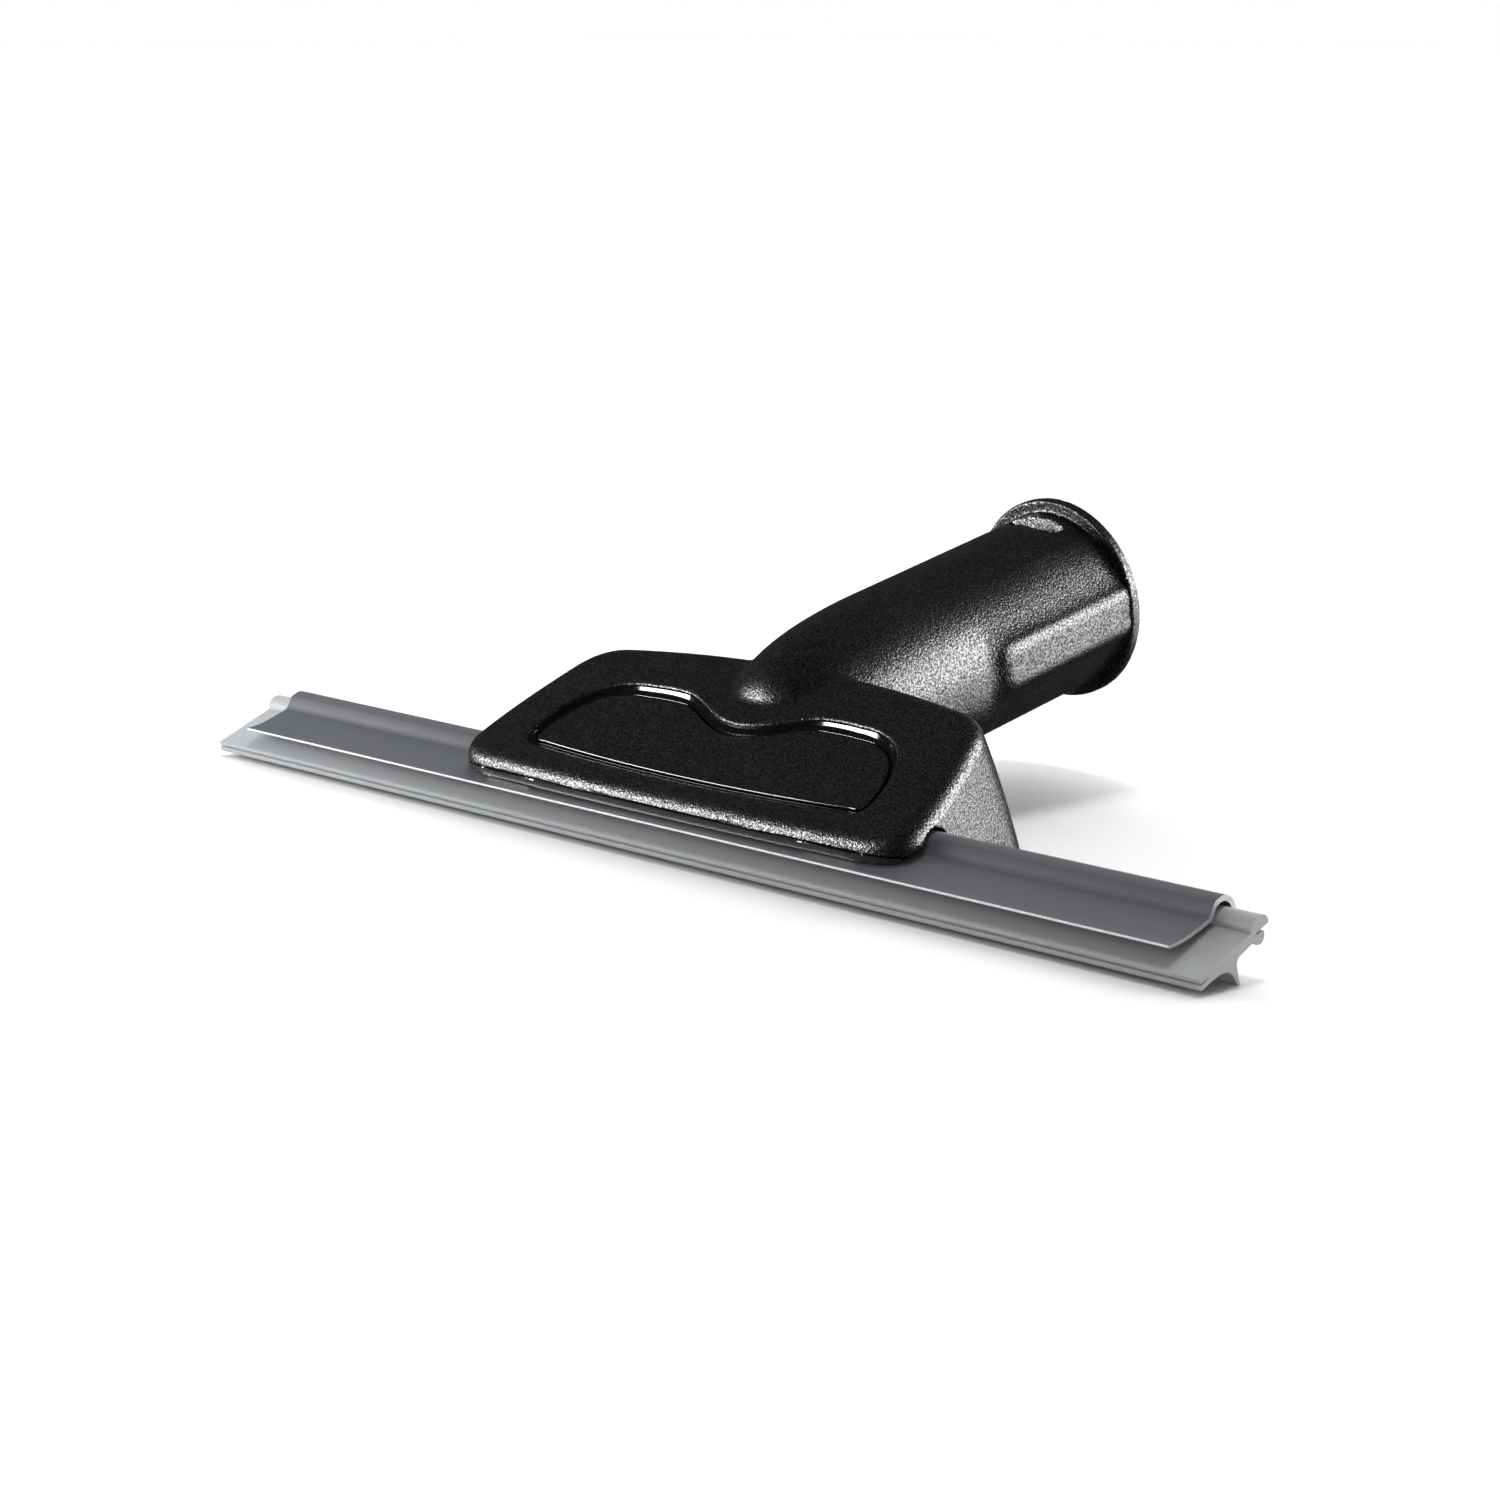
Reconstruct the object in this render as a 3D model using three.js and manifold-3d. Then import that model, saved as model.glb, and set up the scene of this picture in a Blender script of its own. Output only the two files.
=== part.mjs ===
// Window cleaning squeegee: the window nozzle of a hand steam cleaner.
// Millimetres, +Z up. X runs along the blade, +Y from the blade towards the socket.
// Everything is laid out from the blade's front top edge, and the last lines move the
// whole object so that its box is centred over the origin with its lowest edge at z = 0.

import * as THREE from 'three';
import { mergeVertices } from 'three/addons/utils/BufferGeometryUtils.js';
import Module from 'manifold-3d';

const wasm = await Module();
wasm.setup();

// ---------------------------------------------------------------- driving dimensions

const degrees = Math.PI / 180;

const bladeLength = 280;          // rubber blade, end to end
const railLength = 263.4;         // clamp rail, end to end
const bladePitch = 21.9 * degrees;
const bladeThickness = 2.1;
const bladeWidth = 20;
const railSheet = 1.1;            // sheet thickness of the rail
const hookCentre = [18.0, 0.1];   // in the blade's section: along the blade, off the blade
const hookRadius = 3.7;

const platePitch = 29.5 * degrees;
const plateY = 15.5;              // a point of the hood's top plate, on the centre plane
const plateZ = 14.9;
const wall = 2.4;                 // hood wall
const hoodDepth = 46;             // measured square to the top plate
const edgeRadius = 4;             // rounding of the top plate's edge
const rearCurve = 0.0034;         // how fast the rear wall curls in under the socket
const rimZ = 6.6;                 // the front wall ends level here, and the carrier shows below
const rimRearY = 9.6;             // behind this the wall's lower edge follows the rail

const insetBevel = 2.3;           // width of the sloping border along the inset's long edges
const endNarrowing = 0.45;        // how much of that width is lost where the border faces sideways
const insetDepth = 1.1;
const panelThickness = 0.9;
const islandThickness = 0.9;      // floor under the inset panel
const islandMargin = 0.3;         // how far that floor reaches beyond the inset

const socketPitch = 11.66 * degrees;
const collarPitch = 8 * degrees;
const socketY = 126.5;             // centre of the collar's rear face
const socketZ = 35.2;
const socketRadius = 19.5;
const socketBore = 16.6;
const socketDepth = 46;
const channelBore = 14.2;
const sealMiddle = -36.5;         // along the socket's axis, from the collar's rear face
const sealRadius = 17.02;
const sealWire = 1.1;
const grooveRadius = 18.35;
const grooveWidth = 3.2;
const collarRadius = 22.2;
const collarThickness = 2.6;
const collarChamfer = 0.5;
const noseStart = 56.5;           // the socket's front end starts to round off here
const noseLength = 39.3;
const padHeight = 21.5;           // flat side pads, measured from the socket's axis
const padRoot = 17.6;
const padTopLength = 42.6;
const padRootLength = 46;
const padTopHalf = 4.4;           // half of the flat's height
const padRootHalf = 6.9;
const windowHalf = 7.4;           // latch window in the socket's top
const windowFront = -9.6;
const windowRear = -4.8;
const windowCorner = 1.8;

const floorZ = -3.0;              // lowest edge, below the blade's front top edge
const gap = 0.35;                 // clearance between touching pieces
const notchGap = 0.8;             // visible clearance of the hood over the rail
const carrierFrontY = 20.9;       // front of the wall behind the rail's hook
const carrierRearY = 23.4;
const diffuserZ = 5.0;            // underside of the slotted plate
const diffuserThickness = 2.0;
const slotPitch = 7.5;            // steam slots of the plate, in one row
const slotRadius = 1.3;
const slotHalfLength = 3;         // between the centres of its round ends
const slotRowY = 37.5;
const slotsEachSide = 4;
const notchX = 50.8;              // the plate's front corners are cut back beyond this
const notchY = 32.4;
const screwRadius = 1.5;
const screwLength = 10.5;
const screwHeadRadius = 2.8;
const screwHeadHeight = 2.0;
const crossHalfLength = 1.5;
const crossHalfWidth = 0.3;
const crossDepth = 0.9;
const pilotRadius = 1.8;
const pilotDepth = 11;
const bossRadius = 3.4;
const lugHalfWidth = 4.2;         // lug of the carrier under its screw
const lugRearY = 32.6;
const lugZ = -0.2;                // underside of the lug

// ---------------------------------------------------------------- frames

function frameAt(y, z, pitch) {
  const move = new THREE.Matrix4().makeTranslation(0, y, z);
  return move.multiply(new THREE.Matrix4().makeRotationX(pitch));
}

const worldFrame = new THREE.Matrix4();
const plateFrame = frameAt(plateY, plateZ, platePitch);
const socketFrame = frameAt(socketY, socketZ, socketPitch);
const collarFrame = frameAt(socketY, socketZ, collarPitch);

// A point of the blade's section, s along the blade and n off it, as [y, z].
function bladePoint(s, n) {
  const c = Math.cos(bladePitch);
  const k = Math.sin(bladePitch);
  return [s * c - n * k, s * k + n * c];
}

// ---------------------------------------------------------------- solids

function solidOf(geometry, frame = worldFrame) {
  const bare = geometry.clone().applyMatrix4(frame);
  bare.deleteAttribute('normal');
  bare.deleteAttribute('uv');
  const merged = mergeVertices(bare, 1e-4);
  const corners = merged.index.array;
  const triangles = [];
  for (let i = 0; i < corners.length; i += 3) {
    const [a, b, c] = corners.slice(i, i + 3);
    if (a !== b && b !== c && c !== a) triangles.push(a, b, c);
  }
  return new wasm.Manifold(new wasm.Mesh({
    numProp: 3,
    vertProperties: Float32Array.from(merged.attributes.position.array),
    triVerts: Uint32Array.from(triangles),
  }));
}

function geometryOf(solid) {
  const { vertProperties, triVerts } = solid.getMesh();
  const geometry = new THREE.BufferGeometry();
  geometry.setAttribute('position', new THREE.BufferAttribute(vertProperties, 3));
  geometry.setIndex(new THREE.BufferAttribute(triVerts, 1));
  const flat = geometry.toNonIndexed();
  flat.computeVertexNormals();
  return flat;
}

// A closed body through level rings of equal point count, stacked from low to high.
function loft(rings, frame) {
  const count = rings[0].length;
  const positions = rings.flat().flatMap((p) => [p.x, p.y, p.z]);
  const faces = [];
  for (let k = 0; k + 1 < rings.length; k += 1) {
    for (let i = 0; i < count; i += 1) {
      const a = k * count + i;
      const b = k * count + ((i + 1) % count);
      faces.push(a, b, b + count, a, b + count, a + count);
    }
  }
  const flat = (ring) => ring.map((p) => new THREE.Vector2(p.x, p.y));
  const cap = (ring) => THREE.ShapeUtils.triangulateShape(flat(ring), []);
  const top = (rings.length - 1) * count;
  cap(rings[0]).forEach(([a, b, c]) => faces.push(c, b, a));
  cap(rings[rings.length - 1]).forEach(([a, b, c]) => faces.push(top + a, top + b, top + c));
  const geometry = new THREE.BufferGeometry();
  geometry.setAttribute('position', new THREE.Float32BufferAttribute(positions, 3));
  geometry.setIndex(faces);
  return solidOf(geometry, frame);
}

// A section given as [y, z] points, run along X between two ends.
function alongX(section, x0, x1) {
  const shape = new THREE.Shape(section.map(([y, z]) => new THREE.Vector2(y, z)));
  const geometry = new THREE.ExtrudeGeometry(shape, { depth: x1 - x0, bevelEnabled: false });
  const turn = new THREE.Matrix4().makeBasis(
    new THREE.Vector3(0, 1, 0), new THREE.Vector3(0, 0, 1), new THREE.Vector3(1, 0, 0));
  return solidOf(geometry, new THREE.Matrix4().makeTranslation(x0, 0, 0).multiply(turn));
}

function box(x0, x1, y0, y1, z0, z1, frame = worldFrame) {
  const geometry = new THREE.BoxGeometry(x1 - x0, y1 - y0, z1 - z0);
  geometry.translate((x0 + x1) / 2, (y0 + y1) / 2, (z0 + z1) / 2);
  return solidOf(geometry, frame);
}

// Turned body about a Y axis: profile points are [radius, distance along the axis].
function turned(profile, frame, segments = 48) {
  const points = profile.map(([r, y]) => new THREE.Vector2(r, y));
  return solidOf(new THREE.LatheGeometry(points, segments), frame);
}

function upright(radius, x, y, z0, z1, segments = 20) {
  const geometry = new THREE.CylinderGeometry(radius, radius, z1 - z0, segments);
  geometry.rotateX(90 * degrees).translate(x, y, (z0 + z1) / 2);
  return solidOf(geometry);
}

const join = (...solids) => solids.reduce((a, b) => a.add(b));
const cut = (body, ...tools) => tools.reduce((a, b) => a.subtract(b), body);

// ---------------------------------------------------------------- outlines

// Points of an arc, its angles in degrees.
function arcPoints(cx, cy, radius, from, to, steps) {
  const points = [];
  for (let i = 0; i <= steps; i += 1) {
    const angle = (from + (to - from) * i / steps) * degrees;
    points.push([cx + radius * Math.cos(angle), cy + radius * Math.sin(angle)]);
  }
  return points;
}

// Upper face of the rail's flange, from its front edge to the top of the step.
const railTop = [[3.0, 3.2], [5.8, 2.45], [8.55, 2.05], [12, 1.8], [14.3, 1.72], [15.4, 2.4],
  [16.6, 3.5], [17.2, 3.72]];

// Closed ring from the right half of an outline, which runs from the front to the rear.
function mirrored(half) {
  const left = half.slice(1, -1).reverse().map((p) => new THREE.Vector2(-p.x, p.y));
  return [...half, ...left];
}

// The ring moved inwards by a distance, at height n. A share of the distance can be lost
// where the ring faces sideways.
function insetRing(ring, distance, n, narrowing = 0) {
  return ring.map((p, i) => {
    const before = ring[(i + ring.length - 1) % ring.length];
    const after = ring[(i + 1) % ring.length];
    const along = new THREE.Vector2().subVectors(after, before).normalize();
    const move = distance * (1 - narrowing * Math.abs(along.y));
    return new THREE.Vector3(p.x - along.y * move, p.y + along.x * move, n);
  });
}

function sampled(path, perCurve) {
  const points = path.curves.flatMap((curve) => curve.getPoints(perCurve).slice(0, -1));
  return [...points, path.curves[path.curves.length - 1].getPoint(1)];
}

// Hood outline on the top plate: bowed front, round corners, tapering sides, bowed rear.
function hoodOutline() {
  const half = new THREE.Path();
  half.moveTo(0, -14.1);
  half.quadraticCurveTo(30, -14.1, 54, -13.3);
  half.quadraticCurveTo(63.8, -12.9, 64.3, -6);
  half.quadraticCurveTo(63.2, 5, 58, 20.3);
  half.quadraticCurveTo(55.2, 28.3, 47, 29.6);
  half.quadraticCurveTo(24, 33.4, 0, 33.4);
  return mirrored(sampled(half, 6));
}

// Plan of the carrier's strip, which stands upright below the hood's front rim.
function stripOutline() {
  const half = new THREE.Path();
  half.moveTo(0, 4.75);
  half.quadraticCurveTo(26, 4.75, 50, 5.15);
  half.quadraticCurveTo(60.4, 5.3, 62.9, 8.6);
  return sampled(half, 8);
}

// Inset outline: bowed front, round ends, and a rear edge that dips round the nose.
function insetOutline() {
  const half = new THREE.Path();
  half.moveTo(0, -7.2);
  half.quadraticCurveTo(22, -7.2, 44.5, -5.6);
  half.quadraticCurveTo(49.8, -5.2, 49, 0);
  half.quadraticCurveTo(47.8, 10.5, 41.5, 14.8);
  half.quadraticCurveTo(37, 18, 30, 18.1);
  half.quadraticCurveTo(24, 18.6, 19.5, 18.1);
  half.bezierCurveTo(13, 17.4, 8.5, 12, 0, 12);
  return mirrored(sampled(half, 5));
}

const hoodRing = hoodOutline();
const insetOuterRing = insetOutline();
const insetInnerRing = insetRing(insetOuterRing, insetBevel, 0, endNarrowing);

// The hood's body inside its outline: inset from the walls, starting below the top plate.
function hoodLoft(inset, topDrop, rounding = 0) {
  const rearY = Math.max(...hoodRing.map((p) => p.y));
  const ringAt = (depth, extraInset) => {
    const curl = rearCurve * depth * depth;
    return insetRing(hoodRing, inset + extraInset, -depth).map((p) => {
      p.y -= curl * Math.max(p.y, 0) / rearY;
      return p;
    });
  };
  const rings = [];
  for (let k = 8; k >= 1; k -= 1) {
    rings.push(ringAt(topDrop + rounding + (hoodDepth - topDrop - rounding) * k / 8, 0));
  }
  const steps = rounding > 0 ? [90, 60, 30, 0] : [90];
  for (const angle of steps) {
    const drop = rounding * (1 - Math.cos(angle * degrees));
    rings.push(ringAt(topDrop + drop, rounding * (1 - Math.sin(angle * degrees))));
  }
  return loft(rings, plateFrame);
}

// Cutter for everything that must stay clear of the rail and the blade below it.
function railClearance(distance) {
  const flange = [[-15, 3.3], ...railTop].map(([s, n]) => [s, n + distance]);
  const hook = arcPoints(...hookCentre, hookRadius + distance, 76, -37, 7);
  const section = [...flange, ...hook].map(([s, n]) => bladePoint(s, n));
  const lipTop = [[carrierFrontY - 0.4, 4.9], [19.0, 4.5]];
  const lipBottom = [[19.0, 3.5], [carrierFrontY, 2.2]];
  section.push(...lipTop, ...lipBottom, [carrierFrontY, -40], [-40, -40]);
  return alongX(section, -200, 200);
}

// ---------------------------------------------------------------- hood shell

const belowFloor = box(-200, 200, -50, 200, -80, floorZ);

function noseRadius(distance) {
  const u = (distance - noseStart) / noseLength;
  return u <= 0 ? socketRadius : socketRadius * Math.pow(Math.max(1 - u * u, 0), 0.25);
}

// Socket tube with its rounded front end, from the nose's tip to the collar.
function socketOuter() {
  const profile = [[0, -(noseStart + noseLength)]];
  for (const u of [0.985, 0.95, 0.88, 0.78, 0.64, 0.46, 0.25, 0]) {
    const distance = noseStart + noseLength * u;
    profile.push([noseRadius(distance), -distance]);
  }
  profile.push([socketRadius, -1], [0, -1]);
  return turned(profile, socketFrame);
}

function collar() {
  const front = -collarThickness;
  const flare = 2.4;
  const profile = [[0, front - flare], [socketRadius - 0.3, front - flare],
    [socketRadius + 0.6, front - 0.9], [collarRadius - collarChamfer, front],
    [collarRadius, front + collarChamfer],
    [collarRadius, -collarChamfer], [collarRadius - collarChamfer, 0], [0, 0]];
  return turned(profile, collarFrame, 64);
}

// Outline of a side pad at one level: square at the collar, its front corners rounded.
function padOutline(length, half, level) {
  const corner = half * 0.5;
  const soft = corner * 0.3;
  const points = [
    [-1, -half], [-1, half],
    [-length + corner, half], [-length + soft, half - soft], [-length, half - corner],
    [-length, -half + corner], [-length + soft, -half + soft], [-length + corner, -half]];
  return points.map(([y, z]) => new THREE.Vector3(y, z, level));
}

// Flat pad on each side of the socket, running into the collar.
function sidePad(side) {
  const foot = padOutline(padRootLength, padRootHalf, padRoot);
  const top = padOutline(padTopLength, padTopHalf, padHeight);
  const turn = new THREE.Matrix4().makeBasis(
    new THREE.Vector3(0, 1, 0), new THREE.Vector3(0, 0, 1), new THREE.Vector3(1, 0, 0));
  const half = new THREE.Matrix4().makeRotationY(side > 0 ? 0 : Math.PI);
  return loft([foot, top], socketFrame.clone().multiply(half).multiply(turn));
}

// Bore of the socket, then the narrower steam channel that opens into the hood.
function socketHollow() {
  const stop = -socketDepth;
  const sealFront = sealMiddle - grooveWidth / 2;
  const sealRear = sealMiddle + grooveWidth / 2;
  const channelFront = -(noseStart + 30);
  const beyond = 10;
  const profile = [[0, channelFront], [8, channelFront], [12.4, channelFront + 6],
    [channelBore, channelFront + 18], [channelBore, stop], [socketBore, stop],
    [socketBore, sealFront], [grooveRadius, sealFront], [grooveRadius, sealRear],
    [socketBore, sealRear], [socketBore, beyond], [0, beyond]];
  return turned(profile, socketFrame);
}

// Window in the top of the socket for the steam gun's locking button.
function latchWindow() {
  const shape = new THREE.Shape();
  const soft = windowCorner * 0.3;
  shape.moveTo(-windowHalf, windowFront + windowCorner);
  shape.lineTo(-windowHalf + soft, windowFront + soft);
  shape.lineTo(-windowHalf + windowCorner, windowFront);
  shape.lineTo(windowHalf - windowCorner, windowFront);
  shape.lineTo(windowHalf - soft, windowFront + soft);
  shape.lineTo(windowHalf, windowFront + windowCorner);
  shape.lineTo(windowHalf, windowRear);
  shape.lineTo(-windowHalf, windowRear);
  const geometry = new THREE.ExtrudeGeometry(shape, { depth: socketRadius, bevelEnabled: false });
  geometry.translate(0, 0, socketRadius / 2);
  return solidOf(geometry, socketFrame);
}

const insetFloor = -insetDepth - panelThickness - gap;

function insetCutter() {
  return loft([
    insetRing(insetInnerRing, 0, insetFloor),
    insetRing(insetInnerRing, 0, -insetDepth),
    insetRing(insetOuterRing, 0, 0),
    insetRing(insetOuterRing, 0, 3),
  ], plateFrame);
}

// The material kept under the inset, grown by a margin where a neighbour must clear it.
function insetIsland(margin) {
  const reach = -islandMargin - margin;
  return loft([
    insetRing(insetOuterRing, reach, insetFloor - islandThickness - margin),
    insetRing(insetOuterRing, reach, 0),
  ], plateFrame);
}

const carrierScrews = [[-54.5, 28.5], [54.5, 28.5]];
const diffuserScrews = [[-37, 30.5], [37, 30.5], [-41.5, 44.4], [41.5, 44.4]];
const carrierBossZ = 3.6;
const diffuserBossZ = diffuserZ + diffuserThickness + gap;

function boss([x, y], z0) {
  return upright(bossRadius, x, y, z0, 45);
}

function hoodShell() {
  const outer = hoodLoft(0, 0, edgeRadius);
  const cavity = cut(hoodLoft(wall, wall), insetIsland(0));
  const belowRim = box(-200, 200, -50, rimRearY, -50, rimZ);
  const bosses = join(
    ...carrierScrews.map((at) => boss(at, carrierBossZ)),
    ...diffuserScrews.map((at) => boss(at, diffuserBossZ)));
  const pilots = join(
    ...carrierScrews.map(([x, y]) => upright(pilotRadius, x, y, -10, carrierBossZ + pilotDepth)),
    ...diffuserScrews.map(([x, y]) => upright(pilotRadius, x, y, -10, diffuserBossZ + pilotDepth)));
  const outside = join(cut(outer, belowRim), socketOuter(), collar(), sidePad(1), sidePad(-1));
  const shell = cut(outside, cavity, socketHollow(), latchWindow());
  const heldBosses = cut(bosses.intersect(hoodLoft(1, 1)), socketHollow(), pilots);
  return cut(join(shell, heldBosses), insetCutter(), railClearance(notchGap), belowFloor);
}

// ---------------------------------------------------------------- pieces in the hood

function insetPanel() {
  const low = insetFloor + gap;
  const chamfer = 0.25;
  return loft([
    insetRing(insetInnerRing, gap, low),
    insetRing(insetInnerRing, gap, -insetDepth - chamfer),
    insetRing(insetInnerRing, gap + chamfer, -insetDepth),
  ], plateFrame);
}

// Frame under the hood's front half: the strip that shows in front, the liner over the
// rail, and the wall behind its hook, with a lug at each end for a screw.
function railCarrier() {
  const stripRight = stripOutline();
  const stripLeft = stripRight.slice(1).reverse().map((p) => new THREE.Vector2(-p.x, p.y));
  const stripShape = new THREE.Shape([...stripLeft, ...stripRight]);
  const strip = solidOf(new THREE.ExtrudeGeometry(stripShape, { depth: rimZ - gap, bevelEnabled: false }));
  const liner = hoodLoft(wall + gap, wall + gap + 0.1);
  const frontHalf = box(-100, 100, -50, carrierRearY, -50, 60);
  const body = join(strip, liner.intersect(frontHalf));
  const lugs = join(...carrierScrews.map(([x]) => (
    box(x - lugHalfWidth, x + lugHalfWidth, carrierRearY - 1, lugRearY, lugZ, carrierBossZ - gap)
  ))).intersect(liner);
  const holes = join(...carrierScrews.map(([x, y]) => upright(pilotRadius, x, y, -10, 10)));
  const lowest = box(-100, 100, -50, 100, -50, floorZ + 0.8);
  return cut(join(body, lugs), railClearance(gap), insetIsland(gap), holes, lowest);
}

// One round-ended slot, centred at x in the row.
function steamSlot(x) {
  const shape = new THREE.Shape();
  shape.absarc(0, slotHalfLength, slotRadius, 0, Math.PI, false);
  shape.absarc(0, -slotHalfLength, slotRadius, Math.PI, 2 * Math.PI, false);
  const depth = 3 * diffuserThickness;
  const geometry = new THREE.ExtrudeGeometry(shape, { depth, bevelEnabled: false, curveSegments: 6 });
  return solidOf(geometry.translate(x, slotRowY, diffuserZ - diffuserThickness));
}

// Slotted plate that spreads the steam inside the hood's mouth.
function steamDiffuser() {
  const top = diffuserZ + diffuserThickness;
  const slab = box(-100, 100, carrierRearY + gap, 100, diffuserZ, top);
  const plate = hoodLoft(wall + gap + 0.1, wall + gap).intersect(slab);
  const slots = [];
  for (let i = -slotsEachSide; i <= slotsEachSide; i += 1) slots.push(steamSlot(i * slotPitch));
  const holes = diffuserScrews.map(([x, y]) => upright(pilotRadius, x, y, 0, 20));
  const bossRoom = carrierScrews.map(([x, y]) => upright(bossRadius + gap, x, y, 0, 20));
  const notches = [box(-90, -notchX, 0, notchY, 0, 20), box(notchX, 90, 0, notchY, 0, 20)];
  return cut(plate, ...slots, ...holes, ...bossRoom, ...notches);
}

// Pan-head tapping screw with its head down, its bearing face at z and a cross recess.
function screw([x, y], z) {
  const profile = [[0, -screwHeadHeight], [1.6, -screwHeadHeight], [2.5, -1.4], [screwHeadRadius, -0.6],
    [screwHeadRadius, 0], [screwRadius, 0], [screwRadius, screwLength - 1.5], [0.4, screwLength],
    [0, screwLength]];
  const body = turned(profile, worldFrame, 16);
  const deep = -screwHeadHeight + crossDepth;
  const recess = join(
    box(-crossHalfLength, crossHalfLength, -3, deep, -crossHalfWidth, crossHalfWidth),
    box(-crossHalfWidth, crossHalfWidth, -3, deep, -crossHalfLength, crossHalfLength));
  return solidOf(geometryOf(cut(body, recess)), frameAt(y, z, 90 * degrees).setPosition(x, y, z));
}

// Sealing ring of the socket.
function socketSeal() {
  const ring = new THREE.TorusGeometry(sealRadius, sealWire, 12, 48);
  ring.rotateX(90 * degrees).translate(0, sealMiddle, 0);
  return solidOf(ring, socketFrame);
}

// ---------------------------------------------------------------- rail and blade

// Sheet section: a shallow dished flange, a step up to the ridge, and a hook behind.
function clampRail() {
  const [cs, cn] = hookCentre;
  const under = [[16.9, 2.5], [16.1, 1.6], [15.0, 0.75], [12, 0.7], [8.55, 0.95], [5.8, 1.35],
    [3.0, 2.2]];
  const outerArc = arcPoints(cs, cn, hookRadius, 76, -50, 9);
  const innerArc = arcPoints(cs, cn, hookRadius - railSheet, -50, 90, 9);
  const section = [...railTop, ...outerArc, ...innerArc, ...under];
  return alongX(section.map(([s, n]) => bladePoint(s, n)), -railLength / 2, railLength / 2);
}

// Two wiping edges divided by a slit, two beads with a slot between them, and a fin.
function rubberBlade() {
  const slit = [[0, -0.85], [2.6, -1.0], [-0.3, -1.15]];
  const fin = [[3.0, -bladeThickness], [5.6, -2.35], [7.3, -3.1], [8.3, -4.6], [8.75, -6.74],
    [9.3, -6.95], [9.55, -4.6], [9.9, -bladeThickness]];
  const lowerBead = arcPoints(16.75, -1.65, 1.55, 190, 372, 7);
  const beadCentre = 17.6;
  const upperBead = arcPoints(0, 0, 2.0, 0, 180, 8).map(([s, n]) => [beadCentre + s * 1.2, n * 0.9]);
  const slot = [[16.2, -1.05], [16.2, -0.7], [bladeWidth, -0.7]];
  const lowerFront = [-0.4, -bladeThickness];
  const section = [[0, 0], ...slit, lowerFront, ...fin, ...lowerBead, ...slot, ...upperBead];
  return alongX(section.map(([s, n]) => bladePoint(s, n)), -bladeLength / 2, bladeLength / 2);
}

// ---------------------------------------------------------------- materials and scene

const blackTexture = new THREE.MeshStandardMaterial({ color: 0x17181a, roughness: 0.45, metalness: 0 });
const blackSmooth = new THREE.MeshStandardMaterial({ color: 0x232426, roughness: 0.3, metalness: 0 });
const railGrey = new THREE.MeshStandardMaterial({ color: 0x6f7378, roughness: 0.35, metalness: 0.1 });
const rubberGrey = new THREE.MeshStandardMaterial({ color: 0xa7abaf, roughness: 0.6, metalness: 0 });
const sealBlack = new THREE.MeshStandardMaterial({ color: 0x111111, roughness: 0.7, metalness: 0 });
const screwSteel = new THREE.MeshStandardMaterial({ color: 0x9a9da0, roughness: 0.3, metalness: 1 });

const squeegee = new THREE.Group();

function addPiece(name, solid, material) {
  const mesh = new THREE.Mesh(geometryOf(solid), material.clone());
  mesh.name = name;
  squeegee.add(mesh);
}

addPiece('hood_shell', hoodShell(), blackTexture);
addPiece('inset_panel', insetPanel(), blackTexture);
addPiece('rail_carrier', railCarrier(), blackSmooth);
addPiece('steam_diffuser', steamDiffuser(), blackSmooth);
addPiece('clamp_rail', clampRail(), railGrey);
addPiece('rubber_blade', rubberBlade(), rubberGrey);
addPiece('socket_seal', socketSeal(), sealBlack);

const sideName = ([x]) => (x < 0 ? 'left' : 'right');
for (const at of carrierScrews) {
  addPiece(`carrier_screw_${sideName(at)}`, screw(at, -0.2 - gap), screwSteel);
}
for (const at of diffuserScrews) {
  const row = at[1] < 40 ? 'front' : 'rear';
  addPiece(`diffuser_screw_${row}_${sideName(at)}`, screw(at, diffuserZ - gap), screwSteel);
}

// The object's box runs from the blade's front edge to the collar's rear rim.
const rearmost = socketY + (collarRadius - collarChamfer) * Math.sin(collarPitch);
squeegee.position.set(0, -rearmost / 2, -floorZ);

export default squeegee;
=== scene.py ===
import math

import bmesh
import bpy
import numpy as np
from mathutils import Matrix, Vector
from mathutils.geometry import tessellate_polygon

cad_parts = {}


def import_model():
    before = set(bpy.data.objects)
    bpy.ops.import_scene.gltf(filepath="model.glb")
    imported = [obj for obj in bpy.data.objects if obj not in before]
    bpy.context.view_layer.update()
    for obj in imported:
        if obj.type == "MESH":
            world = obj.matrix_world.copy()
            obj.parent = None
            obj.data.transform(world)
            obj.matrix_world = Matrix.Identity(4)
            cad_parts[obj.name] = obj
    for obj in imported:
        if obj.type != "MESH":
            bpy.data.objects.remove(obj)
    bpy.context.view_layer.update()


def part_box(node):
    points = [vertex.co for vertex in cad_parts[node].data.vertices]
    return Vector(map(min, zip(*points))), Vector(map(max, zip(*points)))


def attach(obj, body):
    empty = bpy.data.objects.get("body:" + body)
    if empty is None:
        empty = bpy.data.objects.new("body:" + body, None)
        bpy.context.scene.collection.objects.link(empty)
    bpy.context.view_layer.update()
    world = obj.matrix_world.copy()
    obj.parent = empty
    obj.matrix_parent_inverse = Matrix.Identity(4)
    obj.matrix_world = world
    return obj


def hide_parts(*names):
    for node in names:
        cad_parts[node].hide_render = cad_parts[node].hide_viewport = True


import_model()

# Sizes below are millimetres in the blade's own frame: x along the blade, y from the blade
# towards the socket, z up, with the origin at the blade's front top edge. The plate is the hood's
# sloping top: a runs up it, n stands square off it. Along and up are the socket's own directions.
MM = 0.001
blade_low, blade_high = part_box("rubber_blade")
FLOOR_Z = -3.0
ORIGIN = np.array([0.0, blade_low.y, -FLOOR_Z * MM])
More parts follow.
